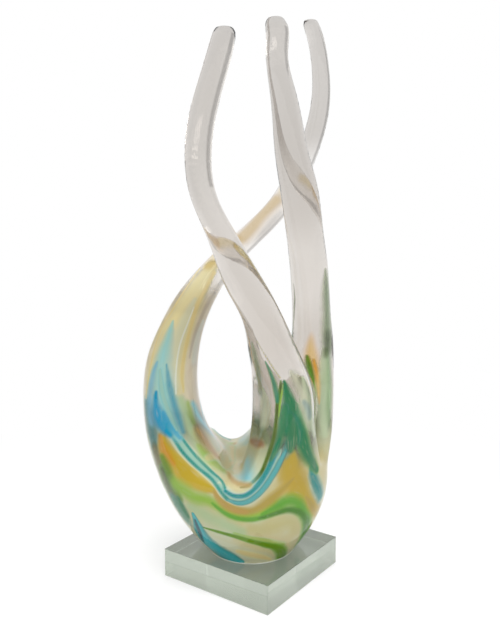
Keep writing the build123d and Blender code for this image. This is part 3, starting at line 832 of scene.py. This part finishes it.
mirrored = layer_points.copy()
behind = depth > 0.0
sway = smoothstep(*FAR_SWAY, depth)
mirrored[behind, 1] *= -1.0
mirrored[:, 0] += sway * wave(height, *FAR_SWING_ALONG)
mirrored[:, 2] += sway * wave(along, *FAR_SWING_UP)
right_side = smoothstep(*RIGHT_LIMB, along)
far_top = FAR_SIDE_TOP + right_side * (RIGHT_FAR_TOP - FAR_SIDE_TOP)

reaches = {}
flow = np.zeros(len(skin_points))
for name, _, _, _, _, *paths in RIBBONS:
    reach = np.full(len(skin_points), FAR)
    for path in paths:
        line = ribbon_line(path)
        reach = np.minimum(reach, ribbon_reach(layer_points, line))
        far_side = np.where(behind & (height < far_top), ribbon_reach(mirrored, line), FAR)
        reach = np.minimum(reach, far_side)
    reaches[name] = reach
    flow = np.where(reach < 1.0, reach + len(reaches), flow)

# Cream ground: it veils the bowl, ends lower on the clear right limb, and runs up the left limb

radial = skin_points[:, :2] - np.array(CROTCH)
radial /= np.linalg.norm(radial, axis=1)[:, None]
outward = np.sum(radial * skin_normals[:, :2], axis=1)
right_front = right_side * (1.0 - smoothstep(*RIGHT_RIM, along))
clear_limb = np.maximum(right_front, right_side * smoothstep(*RIGHT_BACK, depth))
ground = 1.0 - (1.0 - clear_limb) * smoothstep(*VEIL_FADE, height)
ground -= clear_limb * smoothstep(*RIGHT_FADE, height)
veil = ground * (INNER_VEIL + (1.0 - INNER_VEIL) * smoothstep(*OUTER_FACE, outward))
limb = smoothstep(*LIMB_EDGE, -along) * smoothstep(*VEIL_FADE, height)
veil = np.maximum(veil, LIMB_VEIL * limb * (1.0 - smoothstep(*LIMB_TOP, height)))

# Swirl: the part of the layer that ribbons or ground cover

cover = veil
for reach in reaches.values():
    cover = np.maximum(cover, np.clip(COVER_REACH - reach, 0.0, 1.0))
kept = cover[skin_quads].max(axis=1) > LEAST_COVER
used = np.unique(skin_quads[kept])
renumber = np.full(len(skin_points), -1)
renumber[used] = np.arange(len(used))
layer = mesh_piece("colour_swirl", layer_points[used], renumber[skin_quads[kept]])
for name, values in (reaches | {"veil": veil, "flow": flow, "limb": limb}).items():
    point_values(layer, name, values[used])
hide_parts(*BANDS, *FLAMES)

# Block and bond


def block_mesh():
    """The box of the solid that it replaces, with fine arrises."""
    corners = np.array([corner.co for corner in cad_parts["base_block"].data.vertices])
    low, high = corners.min(axis=0), corners.max(axis=0)
    shape = bmesh.new()
    bmesh.ops.create_cube(shape, size=1.0)
    for corner in shape.verts:
        corner.co = Vector((low + high) / 2.0 + np.array(corner.co) * (high - low))
    bmesh.ops.bevel(
        shape, geom=shape.edges[:], offset=BLOCK_ARRIS * MM, segments=ARRIS_STEPS, affect="EDGES", profile=0.5
    )
    mesh = bpy.data.meshes.new("glass_block")
    shape.to_mesh(mesh)
    shape.free()
    return mesh


block = bpy.data.objects.new("glass_block", block_mesh())
bpy.context.scene.collection.objects.link(block)
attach(block, "root")
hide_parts("base_block")

bond_points, bond_faces = node_mesh("bond_film")
bond_low, bond_high = bond_points.min(axis=0), bond_points.max(axis=0)
bond_points[:, 2] = np.clip(bond_points[:, 2], bond_low[2] + BOND_GAP, bond_high[2] - BOND_GAP)
bond_middle = (bond_low[:2] + bond_high[:2]) / 2.0
bond_points[:, :2] = bond_middle + BOND_SPREAD * (bond_points[:, :2] - bond_middle)
bond = mesh_piece("bond_disc", bond_points, bond_faces)
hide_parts("bond_film")

# Materials


class Shading:
    """The nodes of a material or of the world, with one call for each kind used here."""

    def __init__(self, owner):
        owner.use_nodes = True
        self.nodes = owner.node_tree.nodes
        self.links = owner.node_tree.links

    def feed(self, value, socket):
        """Sets a socket to a number or a colour, or links an output to it."""
        if isinstance(value, (float, tuple)):
            socket.default_value = value
        else:
            self.links.new(value, socket)

    def place(self, kind="Object"):
        return self.nodes.new("ShaderNodeTexCoord").outputs[kind]

    def height(self, place):
        node = self.nodes.new("ShaderNodeSeparateXYZ")
        self.links.new(place, node.inputs[0])
        return node.outputs["Z"]

    def attribute(self, name, output="Fac"):
        node = self.nodes.new("ShaderNodeAttribute")
        node.attribute_name = name
        return node.outputs[output]

    def noise(self, place, scale, detail):
        node = self.nodes.new("ShaderNodeTexNoise")
        node.inputs["Scale"].default_value = scale
        node.inputs["Detail"].default_value = detail
        self.links.new(place, node.inputs["Vector"])
        return node.outputs["Fac"]

    def ramp(self, value, low, high):
        """0 at low, 1 at high, eased between."""
        node = self.nodes.new("ShaderNodeMapRange")
        node.interpolation_type = "SMOOTHSTEP"
        node.inputs["From Min"].default_value = low
        node.inputs["From Max"].default_value = high
        self.links.new(value, node.inputs["Value"])
        return node.outputs["Result"]

    def math(self, operation, *values):
        node = self.nodes.new("ShaderNodeMath")
        node.operation = operation
        for socket, value in zip(node.inputs, values):
            self.feed(value, socket)
        return node.outputs["Value"]

    def vector(self, operation, *values):
        node = self.nodes.new("ShaderNodeVectorMath")
        node.operation = operation
        for socket, value in zip(node.inputs, values):
            self.feed(value, socket)
        return node.outputs

    def mix(self, share, first, second, blend="MIX"):
        """From the first colour to the second one by a share."""
        node = self.nodes.new("ShaderNodeMix")
        node.data_type = "RGBA"
        node.blend_type = blend
        self.feed(share, node.inputs["Factor"])
        self.feed(first, node.inputs[6])
        self.feed(second, node.inputs[7])
        return node.outputs[2]


def new_material(name):
    """A material with its nodes and its shader."""
    material = bpy.data.materials.new(name)
    shading = Shading(material)
    return material, shading, shading.nodes["Principled BSDF"]


def swirl_material():
    """Opaque and veiled colours of the swirl: a cream ground, then each ribbon over the ones before it."""
    material, shading, shader = new_material("colour_swirl")
    place = shading.place()
    drift = shading.noise(place, *DRIFT_NOISE)
    drift = shading.math("MULTIPLY_ADD", drift, RIBBON_DRIFT, -0.5 * RIBBON_DRIFT)
    ripple = shading.noise(place, *RIPPLE_NOISE)
    ripple = shading.math("MULTIPLY_ADD", ripple, RIBBON_RIPPLE, -0.5 * RIBBON_RIPPLE)
    drift = shading.math("ADD", drift, ripple)
    cloud = shading.noise(place, *CLOUD_NOISE)
    tone = shading.mix(shading.ramp(cloud, *CLOUD_RAMP), CREAM, IVORY)
    tone = shading.mix(shading.ramp(shading.height(place), *MIST_RISE), tone, MIST)
    tone = shading.mix(shading.attribute("limb"), tone, PEARL)
    density = shading.attribute("veil")
    for name, core, edge, softness, strength, *_ in RIBBONS:
        reach = shading.math("ADD", shading.attribute(name), drift)
        share = shading.ramp(reach, 1.0, 1.0 - softness)
        fall = shading.math("MULTIPLY_ADD", share, -1.0, 2.0)
        share = shading.math("MULTIPLY", share, fall)
        share = shading.math("MULTIPLY", share, strength)
        inner = shading.ramp(reach, *CORE_RAMP)
        tone = shading.mix(share, tone, shading.mix(inner, edge, core))
        density = shading.math("MAXIMUM", density, share)
    lanes = shading.vector("MULTIPLY_ADD", place, (STREAK_STRETCH,) * 3, shading.attribute("flow"))
    streak = shading.ramp(shading.noise(lanes["Vector"], *STREAK_NOISE), *STREAK_RAMP)
    tone = shading.mix(streak, tone, shading.mix(STREAK_SHARE, tone, IVORY))
    shading.links.new(tone, shader.inputs["Base Color"])
    shading.links.new(density, shader.inputs["Alpha"])
    shader.inputs["Roughness"].default_value = SWIRL_ROUGHNESS
    shader.inputs["Specular IOR Level"].default_value = 0.0
    return material


def glass_material(name, wave_strength):
    """Clear solid glass with the faint waviness of a hand-worked surface."""
    material, shading, shader = new_material(name)
    shader.inputs["Transmission Weight"].default_value = 1.0
    shader.inputs["Roughness"].default_value = 0.0
    shader.inputs["IOR"].default_value = GLASS_IOR
    place = shading.place()
    bump = shading.nodes.new("ShaderNodeBump")
    bump.inputs["Strength"].default_value = wave_strength
    bump.inputs["Distance"].default_value = WAVE_HEIGHT * MM
    shading.links.new(shading.noise(place, *WAVE_NOISE), bump.inputs["Height"])
    shading.links.new(bump.outputs["Normal"], shader.inputs["Normal"])
    return material, shading, shader


def smoky_glass_with_painted_shade():
    """The sculpture's glass: clear, with a warm grey tint by height that is painted shade, deeper in the
    arms' thin ends, and with stains, painted shade and painted reflection.
    """
    material, shading, shader = glass_material("clear_glass", SKIN_WAVE)
    level = shading.height(shading.place())
    low = shading.ramp(level, *PAINTED_SHADE_LOW)
    high = shading.ramp(level, *PAINTED_SHADE_HIGH)
    # Painted shade: the grey tint by height stands in for the dim room seen through the arms; it is deepest
    # in their thin ends and left out where the arms cross.
    painted_shade_and_stain_tint = shading.mix(low, CLEAR, PAINTED_SHADE_TINT)
    painted_shade_and_stain_tint = shading.mix(high, painted_shade_and_stain_tint, PAINTED_SHADE_END_TINT)
    painted_shade_and_stain_tint = shading.mix(shading.attribute("crossing"), painted_shade_and_stain_tint, CLEAR)
    painted_shade_and_stain_tint = shading.mix(1.0, painted_shade_and_stain_tint, shading.attribute("stain_and_painted_light", "Color"), "MULTIPLY")
    shading.links.new(painted_shade_and_stain_tint, shader.inputs["Base Color"])
    smoke = shading.nodes.new("ShaderNodeVolumeAbsorption")
    smoke.inputs["Color"].default_value = SMOKY_COLOUR
    smoke.inputs["Density"].default_value = SMOKY_DENSITY
    shading.links.new(smoke.outputs["Volume"], shading.nodes["Material Output"].inputs["Volume"])
    return material


def block_glass():
    """Clear glass with a faint green cast."""
    material, _, shader = glass_material("block_glass", BLOCK_WAVE)
    shader.inputs["Base Color"].default_value = BLOCK_TINT
    return material


def bond_material():
    """Cured adhesive, faintly clouded."""
    material, shading, shader = new_material("bond")
    cloud = shading.ramp(shading.noise(shading.place(), *BOND_NOISE), *BOND_CLOUD)
    shading.links.new(shading.mix(cloud, BOND_TINT, BOND_CLOUD_TINT), shader.inputs["Base Color"])
    shader.inputs["Roughness"].default_value = BOND_ROUGHNESS
    return material


def table_material():
    """White table: it shows pure white away from the object and keeps the object's shadow near it."""
    material, shading, shader = new_material("white_table")
    reach = shading.vector("LENGTH", shading.place())["Value"]
    white = shading.ramp(reach, *FLOOR_FADE)
    white = shading.math("MULTIPLY_ADD", white, 1.0 - FLOOR_GLOW, FLOOR_GLOW)
    rays = shading.nodes.new("ShaderNodeLightPath").outputs
    looked_at = shading.math("MAXIMUM", rays["Is Camera Ray"], rays["Is Glossy Ray"])
    looked_at = shading.math("MAXIMUM", looked_at, rays["Is Transmission Ray"])
    white = shading.math("MULTIPLY", white, looked_at)
    shading.links.new(shading.mix(white, FLOOR_TONE, BLACK), shader.inputs["Base Color"])
    shader.inputs["Roughness"].default_value = FLOOR_ROUGHNESS
    shader.inputs["Specular IOR Level"].default_value = 0.0
    shader.inputs["Emission Color"].default_value = CLEAR
    shading.links.new(white, shader.inputs["Emission Strength"])
    return material


def dress(piece, material):
    piece.data.materials.clear()
    piece.data.materials.append(material)


dress(skin, smoky_glass_with_painted_shade())
dress(layer, swirl_material())
dress(block, block_glass())
dress(bond, bond_material())

# Camera, floor and light

scene = bpy.context.scene
camera_data = bpy.data.cameras.new("photo_camera")
camera_data.sensor_width = SENSOR
camera_data.lens = SENSOR * FOCAL_PIXELS / PHOTO_HEIGHT
camera = bpy.data.objects.new("photo_camera", camera_data)
camera.location = Vector(to_frame(np.array([CAMERA_SPOT]))[0])
camera.rotation_euler = (pi / 2.0 - CAMERA_PITCH, 0.0, TURN)
scene.collection.objects.link(camera)
scene.camera = camera

floor_mesh = bpy.data.meshes.new("floor")
floor_turns = [2.0 * pi * side / FLOOR_SIDES for side in range(FLOOR_SIDES)]
floor_ring = [(FLOOR_REACH * cos(turn), FLOOR_REACH * sin(turn), FLOOR_LEVEL) for turn in floor_turns]
floor_mesh.from_pydata(floor_ring, [], [range(FLOOR_SIDES)])
floor = bpy.data.objects.new("floor", floor_mesh)
scene.collection.objects.link(floor)
dress(floor, table_material())


def studio_world():
    """The white room. As seen straight it is all white, and through glass it is white but for the grey card.
    In the gloss, and as light, it is also dimmer behind the camera."""
    world = bpy.data.worlds.new("studio")
    shading = Shading(world)
    background = shading.nodes["Background"]
    background.inputs["Color"].default_value = CLEAR
    way_out = shading.place("Generated")

    def level(axis, low, high):
        """0 to 1 as the line of sight turns towards an axis."""
        return shading.ramp(shading.vector("DOT_PRODUCT", way_out, axis)["Value"], low, high)

    def between(share, start, end):
        """From start to end by a share."""
        span = shading.math("SUBTRACT", end, start)
        return shading.math("MULTIPLY_ADD", share, span, start)

    studio = between(level(AHEAD, *ROOM_TURN), ROOM_DIM, 1.0)
    studio = between(level(UP, *ROOM_RISE), studio, 1.0)
    rays = shading.nodes.new("ShaderNodeLightPath").outputs
    studio = shading.math("MAXIMUM", studio, rays["Is Transmission Ray"])
    card = shading.math("SUBTRACT", level(AHEAD, *CARD_NEAR), level(AHEAD, *CARD_FAR))
    card = shading.math("MULTIPLY", card, level(LEFT, *CARD_SIDE))
    shade = shading.math("MULTIPLY_ADD", card, -CARD_SHADE, 1.0)
    studio = shading.math("MULTIPLY", studio, shade)
    strength = shading.math("MAXIMUM", studio, rays["Is Camera Ray"])
    shading.links.new(strength, background.inputs["Strength"])
    return world


def soft_lamp(name, place, aim, width, length, watts):
    """A soft box at a place, turned to a point, both in the drawn glass's axes. Gloss doesn't show it."""
    data = bpy.data.lights.new(name, "AREA")
    data.shape = "RECTANGLE"
    data.size, data.size_y = width * MM, length * MM
    data.energy = watts
    lamp = bpy.data.objects.new(name, data)
    ends = to_frame(np.array([place, aim]))
    lamp.location = Vector(ends[0])
    lamp.rotation_euler = (Vector(ends[0]) - Vector(ends[1])).to_track_quat("Z", "Y").to_euler()
    lamp.visible_glossy = False
    scene.collection.objects.link(lamp)


scene.world = studio_world()
for lamp_row in LAMPS:
    soft_lamp(*lamp_row)

scene.view_settings.view_transform = "Standard"
scene.cycles.max_bounces = 24
scene.cycles.transmission_bounces = 20
scene.cycles.glossy_bounces = 8
scene.cycles.diffuse_bounces = 8
scene.cycles.transparent_max_bounces = 32
